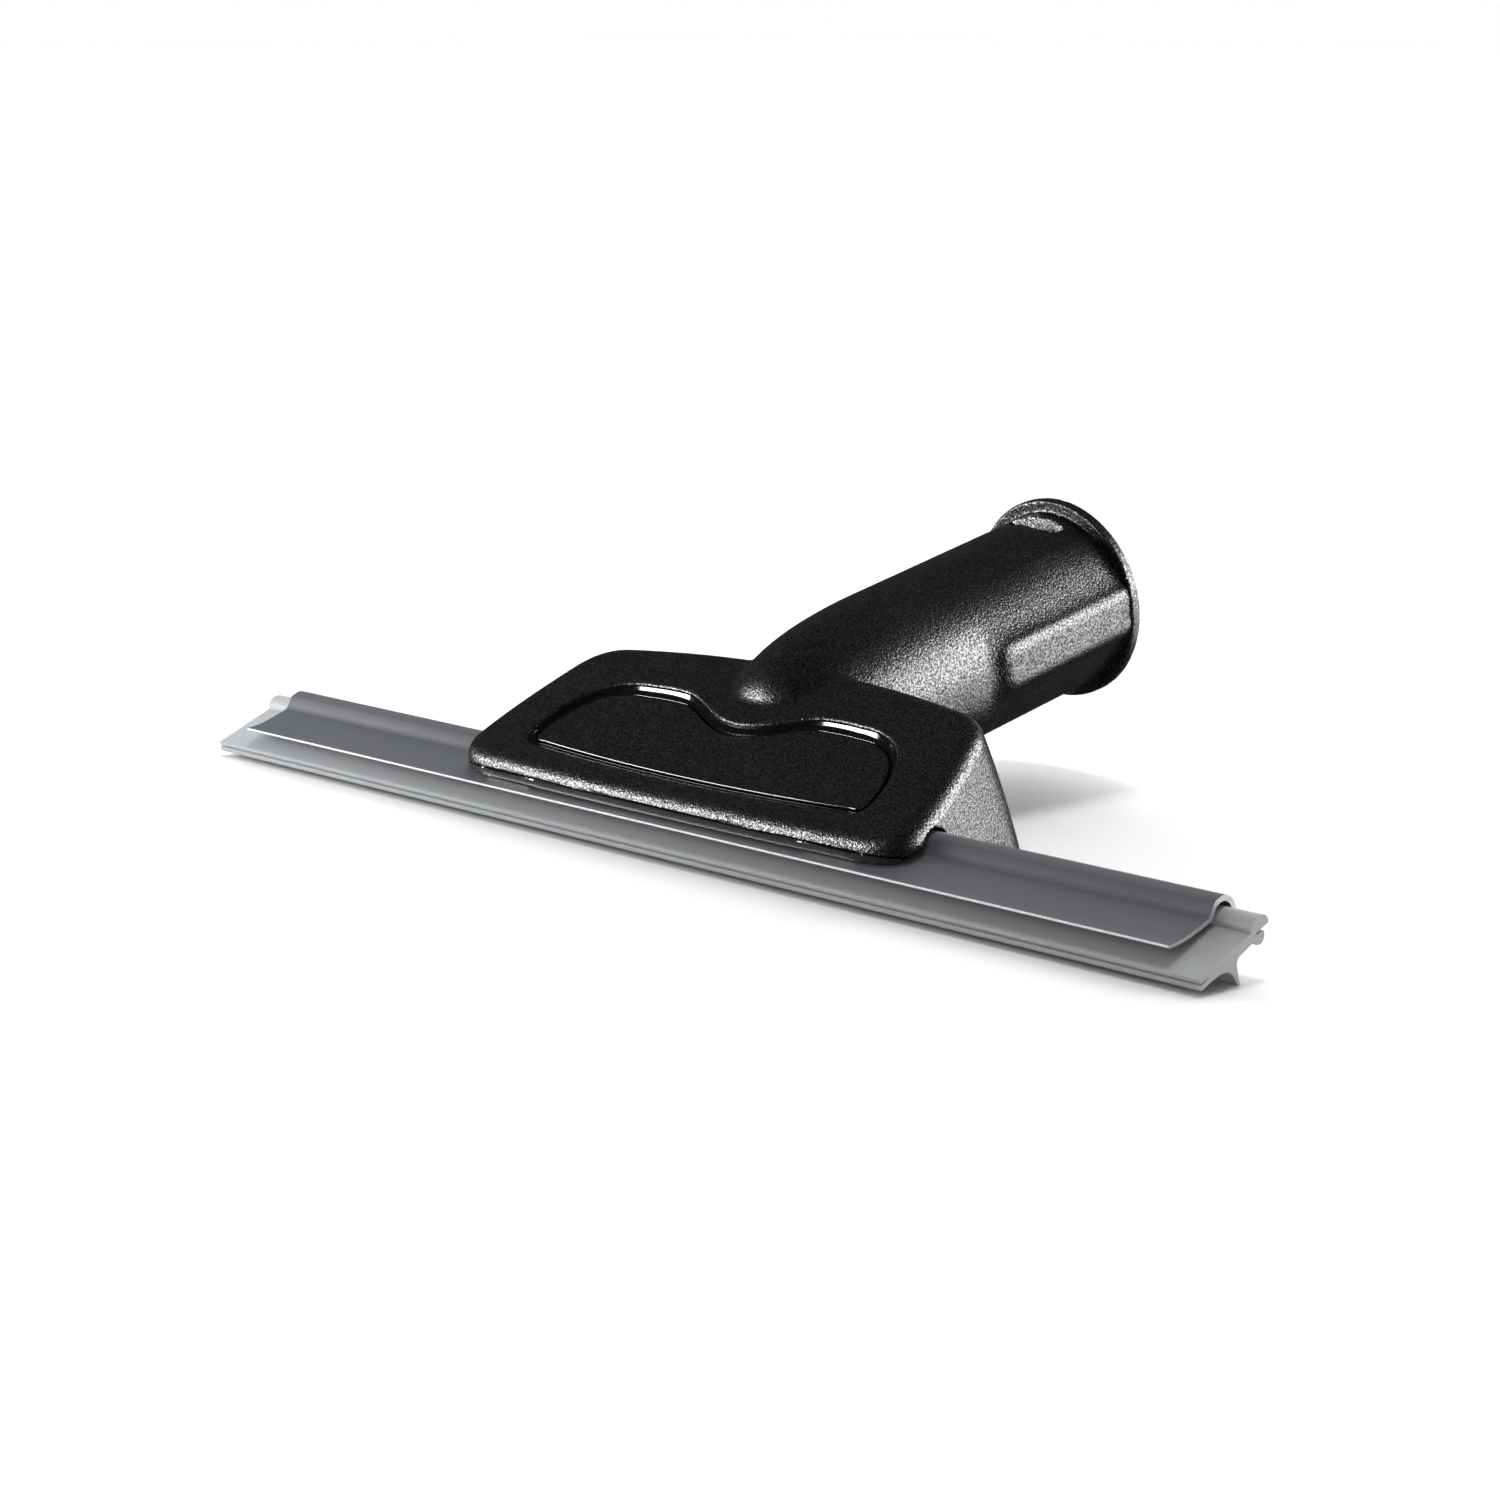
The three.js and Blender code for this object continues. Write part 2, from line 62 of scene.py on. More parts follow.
BLADE_HALF = (blade_high.x - blade_low.x) / 2 / MM
RAIL_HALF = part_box("clamp_rail")[1].x / MM

BLADE_PITCH = math.radians(21.9)
PLATE_PITCH = math.radians(29.5)
PLATE_Y, PLATE_Z = 15.5, 14.9
SOCKET_PITCH = math.radians(11.66)
COLLAR_PITCH = math.radians(8)
SOCKET_Y, SOCKET_Z = 126.5, 35.2

WALL = 2.4
EDGE_RADIUS = 4.0
REAR_A, REAR_CURVE = 33.4, 0.0034
RIM_Z, RIM_REAR_Y = 6.6, 9.6
INSET_BEVEL = 2.3
END_NARROWING = 0.45
INSET_DEPTH = 1.1
PANEL_THICKNESS = 0.9
GAP = 0.35
POCKET_FLOOR = -INSET_DEPTH - PANEL_THICKNESS - GAP
ISLAND_MARGIN, ISLAND_THICKNESS = 0.3, 0.9
SEAM = 0.12
NOTCH_GAP = 0.8
LIP_CUT = 0.5
SOCKET_RADIUS, BORE_RADIUS, BORE_DEPTH = 19.5, 16.6, 46
CHANNEL_ENDS, CHANNEL_RADII = (-86.5, -80.5, -68.5), (8.0, 12.4, 14.2)
GROOVE_RADIUS, GROOVE_ALONG, GROOVE_HALF = 18.35, -36.5, 1.6
NOSE_START, NOSE_LENGTH, NOSE_FILLET = 56.5, 39.3, 0.9
COLLAR_RADIUS, COLLAR_THICKNESS = 22.2, 2.6
COLLAR_ROUND, COLLAR_FILLET = 0.55, 0.5
PAD_HEIGHT, PAD_ROUND, PAD_FILLET = 21.5, 1.1, 1.2
PAD_HALF, PAD_FRONT, PAD_CORNER = 4.2, -42.4, 3.0
RAIL_SHEET = 1.1
# Painted highlight on the rail: front-edge faces ahead of S and above N take the bright grey.
HIGHLIGHT_EDGE_S, HIGHLIGHT_EDGE_N = 3.22, 2.75
RING_POINTS = 420
HOOK_CENTRE = (18.0, 0.1)
HOOK_RADIUS = 3.7
CARRIER_FRONT, CARRIER_REAR = 20.9, 23.4
DIFFUSER_Z, DIFFUSER_THICKNESS = 5.0, 2.0
CARRIER_BOSS_Z = 3.6
DIFFUSER_BOSS_Z = DIFFUSER_Z + DIFFUSER_THICKNESS + GAP
CARRIER_SCREW = (54.5, 28.5)
LUG_HALF, LUG_REAR, LUG_BOTTOM = 4.2, 32.6, -0.2
DIFFUSER_SCREWS = ((37, 30.5), (41.5, 44.4))
BOSS_RADIUS, HOLE_RADIUS, PILOT_DEPTH = 3.4, 1.8, 11
SLOTS_EACH_SIDE, SLOT_PITCH, SLOT_Y = 4, 7.5, 37.5
SLOT_RADIUS, SLOT_HALF_LENGTH = 1.3, 3
WINDOW_HALF, WINDOW_FRONT, WINDOW_REAR = 7.4, -9.6, -5.6


# ---------------------------------------------------------------- outlines

def quadratic(p0, p1, p2, count=40):
    t = np.linspace(0, 1, count, endpoint=False)[:, None]
    p0, p1, p2 = np.array(p0, float), np.array(p1, float), np.array(p2, float)
    return (1 - t) ** 2 * p0 + 2 * t * (1 - t) * p1 + t * t * p2


def cubic(p0, p1, p2, p3, count=40):
    t = np.linspace(0, 1, count, endpoint=False)[:, None]
    p0, p1, p2, p3 = (np.array(p, float) for p in (p0, p1, p2, p3))
    return (1 - t) ** 3 * p0 + 3 * t * (1 - t) ** 2 * p1 + 3 * t * t * (1 - t) * p2 + t ** 3 * p3


def arc(centre, radius, start, end, count):
    angles = np.radians(np.linspace(start, end, count))
    return [(centre[0] + radius * math.cos(t), centre[1] + radius * math.sin(t)) for t in angles]


def closed_outline(pieces, last):
    """The right half's curves and their mirror images, as one ring that runs anticlockwise."""
    half = np.vstack([*pieces, [last]])
    left = half[1:-1][::-1] * (-1, 1)
    return np.vstack([half, left])


def hood_outline():
    return closed_outline([
        quadratic((0, -14.1), (30, -14.1), (54, -13.3)),
        quadratic((54, -13.3), (63.8, -12.9), (64.3, -6)),
        quadratic((64.3, -6), (63.2, 5), (58, 20.3)),
        quadratic((58, 20.3), (55.2, 28.3), (47, 29.6)),
        quadratic((47, 29.6), (24, REAR_A), (0, REAR_A)),
    ], (0, REAR_A))


def strip_outline():
    """Plan of the strip that stands upright below the hood's front rim."""
    right = np.vstack([quadratic((0, 4.75), (26, 4.75), (50, 5.15)),
                       quadratic((50, 5.15), (60.4, 5.3), (62.9, 8.6)), [(62.9, 9.0)]])
    return np.vstack([right, right[1:][::-1] * (-1, 1)])


def inset_outline():
    return closed_outline([
        quadratic((0, -7.2), (22, -7.2), (44.5, -5.6)),
        quadratic((44.5, -5.6), (49.8, -5.2), (49, 0)),
        quadratic((49, 0), (47.8, 10.5), (41.5, 14.8)),
        quadratic((41.5, 14.8), (37, 18), (30, 18.1)),
        quadratic((30, 18.1), (24, 18.6), (19.5, 18.1)),
        cubic((19.5, 18.1), (13, 17.4), (8.5, 12), (0, 12)),
    ], (0, 12))


RAIL_TOP = [(3.0, 3.2), (5.8, 2.45), (8.55, 2.05), (12, 1.8), (14.3, 1.72), (15.4, 2.4),
            (16.6, 3.5), (17.2, 3.72)]


def blade_point(s, n):
    """A point of the blade's section, s along the blade and n off it, as (y, z)."""
    c, k = math.cos(BLADE_PITCH), math.sin(BLADE_PITCH)
    return s * c - n * k, s * k + n * c


def clearance_outline(distance):
    flange = [(s, n + distance) for s, n in [(-15, 3.3), *RAIL_TOP]]
    hook = arc(HOOK_CENTRE, HOOK_RADIUS + distance, 76, -37, 12)
    section = [blade_point(s, n) for s, n in flange + hook]
    behind = [(CARRIER_FRONT - 0.4, 4.9), (19.0, 4.5), (19.0, 3.5), (CARRIER_FRONT, 2.2)]
    return np.array(section + behind + [(CARRIER_FRONT, -40), (-40, -40)])


class OutlineDistance:
    """Signed distance to a closed outline in its plane, negative inside, read from a fine grid."""

    step = 0.25

    def __init__(self, outline, margin=12.0, low=None, high=None):
        step = self.step
        self.low = np.array(outline.min(0) - margin if low is None else low, float)
        high = outline.max(0) + margin if high is None else high
        counts = np.ceil((high - self.low) / step).astype(int) + 1
        u = self.low[0] + np.arange(counts[0]) * step
        v = self.low[1] + np.arange(counts[1]) * step
        grid_u, grid_v = np.meshgrid(u, v, indexing="ij")
        nearest = np.full(grid_u.shape, 1e9)
        inside = np.zeros(grid_u.shape, bool)
        for (au, av), (bu, bv) in zip(outline, np.roll(outline, -1, axis=0)):
            du, dv = bu - au, bv - av
            if du == 0 and dv == 0:
                continue
            t = ((grid_u - au) * du + (grid_v - av) * dv) / (du * du + dv * dv)
            t = np.clip(t, 0, 1)
            square = (grid_u - au - t * du) ** 2 + (grid_v - av - t * dv) ** 2
            nearest = np.minimum(nearest, square)
            if av != bv:
                crossing = au + (grid_v - av) / dv * du
                inside ^= ((av > grid_v) != (bv > grid_v)) & (grid_u < crossing)
        self.values = np.where(inside, -1, 1) * np.sqrt(nearest)

    def __call__(self, u, v):
        i = (u - self.low[0]) / self.step
        j = (v - self.low[1]) / self.step
        i = np.clip(i, 0, self.values.shape[0] - 1.001)
        j = np.clip(j, 0, self.values.shape[1] - 1.001)
        i0, j0 = i.astype(int), j.astype(int)
        fi, fj = i - i0, j - j0
        g = self.values
        low = g[i0, j0] * (1 - fi) + g[i0 + 1, j0] * fi
        high = g[i0, j0 + 1] * (1 - fi) + g[i0 + 1, j0 + 1] * fi
        return low * (1 - fj) + high * fj


# ---------------------------------------------------------------- solids as distance fields

SETTLING_ROUNDS = 3
SHARP_ANGLE = math.radians(38)


def round_union(a, b, radius):
    """Two fields joined, with a fillet of the radius where they meet."""
    u, v = np.maximum(radius - a, 0), np.maximum(radius - b, 0)
    return np.maximum(radius, np.minimum(a, b)) - np.hypot(u, v)


def round_meet(a, b, radius):
    """What two fields share, with its edge rounded by the radius."""
    u, v = np.maximum(radius + a, 0), np.maximum(radius + b, 0)
    return np.minimum(-radius, np.maximum(a, b)) + np.hypot(u, v)


def meet(*fields):
    return np.maximum.reduce(fields)


def union(*fields):
    return np.minimum.reduce(fields)


hood_side = OutlineDistance(hood_outline())
inset_side = OutlineDistance(inset_outline())
strip_side = OutlineDistance(strip_outline(), margin=6.0)
rail_room = OutlineDistance(clearance_outline(NOTCH_GAP), low=(-30, -12), high=(45, 30))
carrier_room = OutlineDistance(clearance_outline(SEAM), low=(-30, -12), high=(45, 30))


def turned_frame(y, z, origin_y, origin_z, pitch):
    """Coordinates along and square to a direction that rises by pitch in the YZ plane."""
    c, k = math.cos(pitch), math.sin(pitch)
    return (y - origin_y) * c + (z - origin_z) * k, -(y - origin_y) * k + (z - origin_z) * c


def hood_walls(x, a, n):
    """Distance to the hood's side walls, whose rear part curls in with depth."""
    curl = REAR_CURVE * np.clip(-n, 0, 50) ** 2 / REAR_A
    return hood_side(x, np.where(a > 0, a / (1 - curl), a))


def socket_tube(r, along):
    """The tube, which closes in a blunt nose where it meets the hood."""
    u = np.maximum((-along - NOSE_START) / NOSE_LENGTH, 0)
    q = r / SOCKET_RADIUS
    slope = np.hypot(4 * np.maximum(q, 0.45) ** 3 / SOCKET_RADIUS, 2 * u / NOSE_LENGTH)
    return np.maximum((q ** 4 + u * u - 1) / slope, along + 1)


def socket_hollow(r, along):
    bore = np.maximum(r - BORE_RADIUS, -(along + BORE_DEPTH))
    channel_radius = np.interp(along, CHANNEL_ENDS, CHANNEL_RADII)
    channel = np.maximum(r - channel_radius, -(along - CHANNEL_ENDS[0]))
    groove = np.maximum(r - GROOVE_RADIUS, np.abs(along - GROOVE_ALONG) - GROOVE_HALF)
    return union(bore, channel, groove)


def hood_shell_distance(x, y, z):
    x = np.abs(x)
    a, n = turned_frame(y, z, PLATE_Y, PLATE_Z, PLATE_PITCH)
    along, up = turned_frame(y, z, SOCKET_Y, SOCKET_Z, SOCKET_PITCH)
    r = np.hypot(x, up)
    walls = hood_walls(x, a, n)
    body = round_meet(walls, n, EDGE_RADIUS)
    body = np.maximum(body, -meet(z - RIM_Z, y - RIM_REAR_Y))
    outside = round_union(body, socket_tube(r, along), NOSE_FILLET)

    # The pads on the tube's sides widen towards the tube.
    pad_half = PAD_HALF + (PAD_HEIGHT - x) * 1.05
    pad_front = PAD_FRONT - (PAD_HEIGHT - x) * 1.2
    pad_corner = PAD_CORNER + (PAD_HEIGHT - x) * 0.8
    pad_sides = round_meet(np.abs(up) - pad_half, pad_front - along, pad_corner) * 0.69
    pad = meet(round_meet(pad_sides, x - PAD_HEIGHT, PAD_ROUND), along + 1, 12 - x)
    outside = round_union(outside, pad, PAD_FILLET)

    collar_along, collar_up = turned_frame(y, z, SOCKET_Y, SOCKET_Z, COLLAR_PITCH)
    half = COLLAR_THICKNESS / 2
    disc_side = np.hypot(x, collar_up) - COLLAR_RADIUS
    disc = round_meet(disc_side, np.abs(collar_along + half) - half, COLLAR_ROUND)
    outside = np.maximum(round_union(outside, disc, COLLAR_FILLET), collar_along)

    island = meet(inset_side(x, a) - ISLAND_MARGIN, -(n - POCKET_FLOOR + ISLAND_THICKNESS))
    cavity = np.maximum(round_meet(walls + WALL, n + WALL, 1.5), -island)
    window_side = round_meet(x - WINDOW_HALF, WINDOW_FRONT - along, 1.8)
    window = meet(window_side, along - WINDOW_REAR - 0.5 * (up - BORE_RADIUS), 10 - up)
    hollow = socket_hollow(r, along)
    shell = meet(outside, -cavity, -hollow, -window)

    for (bx, by), base in ((CARRIER_SCREW, CARRIER_BOSS_Z), (DIFFUSER_SCREWS[0], DIFFUSER_BOSS_Z),
                           (DIFFUSER_SCREWS[1], DIFFUSER_BOSS_Z)):
        distance = np.hypot(x - bx, y - by)
        boss = meet(distance - BOSS_RADIUS, base - z, body + 1, -hollow)
        pilot = np.maximum(distance - HOLE_RADIUS, z - base - PILOT_DEPTH)
        shell = np.maximum(np.minimum(shell, boss), -pilot)

    pocket = np.maximum(inset_side(x, a) - LIP_CUT, POCKET_FLOOR - n)
    return meet(shell, -pocket, -rail_room(y, z), FLOOR_Z - z)


def rail_carrier_distance(x, y, z):
    x = np.abs(x)
    a, n = turned_frame(y, z, PLATE_Y, PLATE_Z, PLATE_PITCH)
    walls = hood_walls(x, a, n)
    strip = meet(strip_side(x, y), z - RIM_Z + SEAM)
    liner = meet(walls + WALL + GAP, n + WALL + GAP + 0.1)
    front = np.maximum(liner, y - CARRIER_REAR)
    lug = meet(liner, np.abs(x - CARRIER_SCREW[0]) - LUG_HALF, y - LUG_REAR,
               z - CARRIER_BOSS_Z + GAP, LUG_BOTTOM - z)
    hole = np.hypot(x - CARRIER_SCREW[0], y - CARRIER_SCREW[1]) - HOLE_RADIUS
    island = meet(inset_side(x, a) - ISLAND_MARGIN - GAP,
                  -(n - POCKET_FLOOR + ISLAND_THICKNESS + GAP))
    solid = union(strip, front, lug)
    return meet(solid, -carrier_room(y, z), -island, -hole, FLOOR_Z + 0.8 - z)


def steam_diffuser_distance(x, y, z):
    side = x
    x = np.abs(x)
    a, n = turned_frame(y, z, PLATE_Y, PLATE_Z, PLATE_PITCH)
    walls = hood_walls(x, a, n)
    middle = DIFFUSER_Z + DIFFUSER_THICKNESS / 2
    slab = np.abs(z - middle) - DIFFUSER_THICKNESS / 2
    edge = meet(walls + WALL + GAP + 0.1, CARRIER_REAR + GAP - y, n + WALL + GAP)
    plate = round_meet(edge, slab, 0.4)
    corner = meet(50.8 - x, y - 32.4)
    number = np.clip(np.round(side / SLOT_PITCH), -SLOTS_EACH_SIDE, SLOTS_EACH_SIDE)
    past_end = np.maximum(np.abs(y - SLOT_Y) - SLOT_HALF_LENGTH, 0)
    slot = np.hypot(side - number * SLOT_PITCH, past_end) - SLOT_RADIUS
    holes = union(*[np.hypot(x - bx, y - by) - HOLE_RADIUS for bx, by in DIFFUSER_SCREWS],
                  np.hypot(x - CARRIER_SCREW[0], y - CARRIER_SCREW[1]) - BOSS_RADIUS - GAP)
    plate = round_meet(plate, -slot, 0.35)
    return meet(plate, -corner, -holes)


def surface_of(distance, low, high, cell):
    """Vertices and quads of a distance field's zero surface, by surface nets."""
    low, high = np.array(low, float), np.array(high, float)
    counts = np.ceil((high - low) / cell).astype(int) + 1
    axes = [low[i] + np.arange(counts[i]) * cell for i in range(3)]
    field = np.empty(counts, np.float32)
    yy, zz = np.meshgrid(axes[1], axes[2], indexing="ij")
    for i, x in enumerate(axes[0]):
        field[i] = distance(np.full(yy.shape, x), yy, zz)
    inside = field < 0
    cells = tuple(counts - 1)
    total = np.zeros((*cells, 3), np.float32)
    crossings = np.zeros(cells, np.uint8)
    quads = []
    edges = []
    for axis in range(3):
        low_end = [slice(None)] * 3
        high_end = [slice(None)] * 3
        low_end[axis], high_end[axis] = slice(0, -1), slice(1, None)
        f0, f1 = field[tuple(low_end)], field[tuple(high_end)]
        crossed = inside[tuple(low_end)] != inside[tuple(high_end)]
        where = np.argwhere(crossed)
        d0, d1 = f0[crossed], f1[crossed]
        point = where.astype(np.float32)
        point[:, axis] += d0 / (d0 - d1)
        edges.append((axis, where, d0 < 0))
        others = [i for i in range(3) if i != axis]
        for du in (0, 1):
            for dv in (0, 1):
                at = where.copy()
                at[:, others[0]] -= du
                at[:, others[1]] -= dv
                good = ((at >= 0) & (at < cells)).all(1)
                index = tuple(at[good].T)
                np.add.at(total, index, point[good])
                np.add.at(crossings, index, 1)
    active = crossings > 0
    ids = np.full(cells, -1, np.int64)
    ids[active] = np.arange(active.sum())
    vertices = total[active] / crossings[active][:, None] * cell + low
    for axis, where, starts_inside in edges:
        u, v = (axis + 1) % 3, (axis + 2) % 3
        corners = []
        for du, dv in ((0, 0), (1, 0), (1, 1), (0, 1)):
            at = where.copy()
            at[:, u] -= du
            at[:, v] -= dv
            corners.append(ids[tuple(np.clip(at, 0, np.array(cells) - 1).T)])
        ring = np.stack(corners, 1)
        ring[~starts_inside] = ring[~starts_inside][:, ::-1]
        quads.append(ring)
    vertices, slopes = settled(distance, vertices, cell)
    return vertices, np.vstack(quads), slopes


def slope_of(distance, points, step):
    slope = np.empty_like(points)
    for axis in range(3):
        ahead, behind = points.copy(), points.copy()
        ahead[:, axis] += step
        behind[:, axis] -= step
        slope[:, axis] = (distance(*ahead.T) - distance(*behind.T)) / (2 * step)
    return slope


def settled(distance, vertices, cell):
    """The vertices moved onto the zero surface along the field's slope, and that slope."""
    step = cell * 0.1
    v = vertices.astype(float)
    for _ in range(SETTLING_ROUNDS):
        slope = slope_of(distance, v, step)
        size = np.maximum((slope ** 2).sum(1), 0.25)
        move = -(distance(*v.T) / size)[:, None] * slope
        length = np.linalg.norm(move, axis=1, keepdims=True)
        v += move * np.minimum(1, 0.5 * cell / np.maximum(length, 1e-9))
    slope = slope_of(distance, v, step)
    return v, slope / np.maximum(np.linalg.norm(slope, axis=1, keepdims=True), 1e-9)


# ---------------------------------------------------------------- meshes

CREASE_ANGLE = math.radians(50)


def in_metres(points):
    return np.asarray(points, float) * MM + ORIGIN


def add_mesh(name, vertices, faces, material, body="nozzle"):
    mesh = bpy.data.meshes.new(name)
    mesh.from_pydata([tuple(v) for v in vertices], [], [tuple(int(i) for i in f) for f in faces])
    mesh.validate()
    mesh.polygons.foreach_set("use_smooth", [True] * len(mesh.polygons))
    piece = bpy.data.objects.new(name, mesh)
    bpy.context.scene.collection.objects.link(piece)
    mesh.materials.append(material)
    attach(piece, body)
    return piece


def shade_by_slope(mesh, slopes):
    """Each corner takes the field's slope as its normal, or its own face's at a sharp edge."""
    corners = np.empty(len(mesh.loops), np.int32)
    mesh.loops.foreach_get("vertex_index", corners)
    sizes = np.empty(len(mesh.polygons), np.int32)
    mesh.polygons.foreach_get("loop_total", sizes)
    facing = np.empty(3 * len(mesh.polygons), np.float32)
    mesh.polygons.foreach_get("normal", facing)
    facing = np.repeat(facing.reshape(-1, 3), sizes, axis=0)
    normals = slopes[corners].astype(np.float32)
    across = (normals * facing).sum(1) < math.cos(SHARP_ANGLE)
    normals[across] = facing[across]
    mesh.normals_split_custom_set(normals)


def moulded(name, distance, low, high, cell, material):
    """A piece made from the distance field inside a box, with one cell as its finest detail."""
    vertices, quads, slopes = surface_of(distance, low, high, cell)
    piece = add_mesh(name, in_metres(vertices), quads, material)
    shade_by_slope(piece.data, slopes)
    return piece


# ---------------------------------------------------------------- materials

def shader(name, color, roughness, metallic=0.0, specular=0.5):
    material = bpy.data.materials.new(name)
    material.use_nodes = True
    tree = material.node_tree
    principled = tree.nodes["Principled BSDF"]
    principled.inputs["Base Color"].default_value = (*color, 1)
    principled.inputs["Roughness"].default_value = roughness
    principled.inputs["Metallic"].default_value = metallic
    principled.inputs["Specular IOR Level"].default_value = specular
    return material, tree, principled


def coordinates(tree, scale=(1, 1, 1)):
    place = tree.nodes.new("ShaderNodeTexCoord")
    mapping = tree.nodes.new("ShaderNodeMapping")
    mapping.inputs["Scale"].default_value = scale
    tree.links.new(place.outputs["Object"], mapping.inputs["Vector"])
    return mapping.outputs["Vector"]


def noise(tree, vector, scale, detail=2.0, roughness=0.5):
    node = tree.nodes.new("ShaderNodeTexNoise")
    node.inputs["Scale"].default_value = scale
    node.inputs["Detail"].default_value = detail
    node.inputs["Roughness"].default_value = roughness
    tree.links.new(vector, node.inputs["Vector"])
    return node.outputs["Fac"]


def mapped(tree, value, low, high, to_low, to_high):
    node = tree.nodes.new("ShaderNodeMapRange")
    node.inputs["From Min"].default_value = low
    node.inputs["From Max"].default_value = high
    node.inputs["To Min"].default_value = to_low
    node.inputs["To Max"].default_value = to_high
    tree.links.new(value, node.inputs["Value"])
    return node.outputs["Result"]


def blended(tree, value, color_a, color_b):
    node = tree.nodes.new("ShaderNodeMix")
    node.data_type = "RGBA"
    node.inputs[6].default_value = (*color_a, 1)
    node.inputs[7].default_value = (*color_b, 1)
    tree.links.new(value, node.inputs[0])
    return node.outputs[2]


def bumped(tree, principled, height, distance, strength=1.0):
    node = tree.nodes.new("ShaderNodeBump")
    node.inputs["Strength"].default_value = strength
    node.inputs["Distance"].default_value = distance
    tree.links.new(height, node.inputs["Height"])
    tree.links.new(node.outputs["Normal"], principled.inputs["Normal"])


def textured_black():
    """Black plastic with a fine spark-eroded skin: grains about half a millimetre wide. They show
    mostly as glints, which are a varying specular level on top of a shallow bump."""
    material, tree, principled = shader("textured_black", (0.006, 0.0062, 0.0065), 0.31)
    place = coordinates(tree)
    grain = noise(tree, place, 2100, 1.0, 0.6)
    sparkle = noise(tree, place, 2300, 0.0)
    broad = noise(tree, place, 60, 3.0)
    bumped(tree, principled, grain, 0.00013, 1.0)
    tree.links.new(mapped(tree, broad, 0.3, 0.7, 0.28, 0.34), principled.inputs["Roughness"])
    glint = mapped(tree, sparkle, 0.34, 0.66, 0.15, 0.85)
    tree.links.new(glint, principled.inputs["Specular IOR Level"])
    tree.links.new(blended(tree, mapped(tree, grain, 0.38, 0.66, 0, 1), (0.002, 0.0021, 0.0023),
                           (0.016, 0.0165, 0.017)), principled.inputs["Base Color"])
    return material


def polished_black():
    black = (0.004, 0.004, 0.005)
    material, tree, principled = shader("polished_black", black, 0.08, specular=0.6)
    place = coordinates(tree)
    ripple = noise(tree, place, 90, 2.0)
    bumped(tree, principled, ripple, 0.00005, 0.3)
    haze = noise(tree, place, 700)
    tree.links.new(mapped(tree, haze, 0.3, 0.7, 0.05, 0.12), principled.inputs["Roughness"])
    tree.links.new(blended(tree, ripple, (0.003, 0.003, 0.004), (0.005, 0.005, 0.006)),
                   principled.inputs["Base Color"])
    return material


def smooth_black():
    material, tree, principled = shader("smooth_black", (0.025, 0.026, 0.028), 0.18)
    place = coordinates(tree)
    flow = noise(tree, place, 130, 3.0)
    tree.links.new(blended(tree, flow, (0.02, 0.021, 0.023), (0.03, 0.031, 0.034)),
                   principled.inputs["Base Color"])
    haze = noise(tree, place, 1500)
    tree.links.new(mapped(tree, haze, 0.3, 0.7, 0.15, 0.22), principled.inputs["Roughness"])
    bumped(tree, principled, flow, 0.0001, 0.25)
    return material


def rail_grey():
    """Smooth satin grey, with faint draw lines along its length."""
    material, tree, principled = shader("rail_grey", (0.095, 0.1, 0.11), 0.36)
    lines = noise(tree, coordinates(tree, (0.01, 1, 1)), 900, 2.0)
    cloud = noise(tree, coordinates(tree), 40, 2.0)
    tree.links.new(blended(tree, lines, (0.09, 0.095, 0.105), (0.1, 0.105, 0.115)),
                   principled.inputs["Base Color"])
    tree.links.new(mapped(tree, cloud, 0.3, 0.7, 0.33, 0.39), principled.inputs["Roughness"])
    bumped(tree, principled, lines, 0.00001, 0.2)
    return material


def rail_painted_highlight():
    """Painted highlight: a bright copy of the rail's grey for the top rounding of the sheet's
    front edge and the rail's ends, where light catches them.
    """
    material, tree, principled = shader("rail_painted_highlight", (0.62, 0.63, 0.64), 0.3, specular=0.3)
    highlight_streaks = noise(tree, coordinates(tree, (1, 0.2, 1)), 1800, 2.0)
    tree.links.new(blended(tree, highlight_streaks, (0.52, 0.53, 0.54), (0.7, 0.71, 0.72)),
                   principled.inputs["Base Color"])
    tree.links.new(mapped(tree, highlight_streaks, 0.3, 0.7, 0.24, 0.36), principled.inputs["Roughness"])
    return material


def blade_rubber():
    material, tree, principled = shader("blade_rubber", (0.31, 0.32, 0.33), 0.48, specular=0.2)
    place = coordinates(tree)
    mottle = noise(tree, place, 420, 4.0, 0.6)
    lines = noise(tree, coordinates(tree, (0.03, 1, 1)), 1600, 2.0)
    tree.links.new(blended(tree, mottle, (0.295, 0.305, 0.315), (0.325, 0.335, 0.345)),
                   principled.inputs["Base Color"])
    tree.links.new(mapped(tree, mottle, 0.3, 0.7, 0.42, 0.56), principled.inputs["Roughness"])
    bumped(tree, principled, lines, 0.00003, 0.4)
    return material


def seal_rubber():
    material, tree, principled = shader("seal_rubber", (0.012, 0.012, 0.012), 0.55)
    tree.links.new(mapped(tree, noise(tree, coordinates(tree), 1800, 3.0), 0.3, 0.7, 0.45, 0.65),
                   principled.inputs["Roughness"])
    return material


def screw_steel():
    material, tree, principled = shader("screw_steel", (0.6, 0.61, 0.62), 0.28, metallic=1.0)
    wear = noise(tree, coordinates(tree), 2500, 3.0)
    tree.links.new(mapped(tree, wear, 0.3, 0.7, 0.2, 0.38), principled.inputs["Roughness"])
    tree.links.new(blended(tree, wear, (0.55, 0.56, 0.57), (0.66, 0.67, 0.68)),
                   principled.inputs["Base Color"])
    return material


BLACK = textured_black()
GLOSS = polished_black()
SMOOTH = smooth_black()
RAIL = rail_grey()
RAIL_HIGHLIGHT = rail_painted_highlight()
RUBBER = blade_rubber()
SEAL = seal_rubber()
STEEL = screw_steel()


# ---------------------------------------------------------------- hood pieces

hood = moulded("hood_body", hood_shell_distance,
               (-66.6, 3.0, -3.6), (66.6, 130.2, 58.8), 0.6, BLACK)
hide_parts("hood_shell")

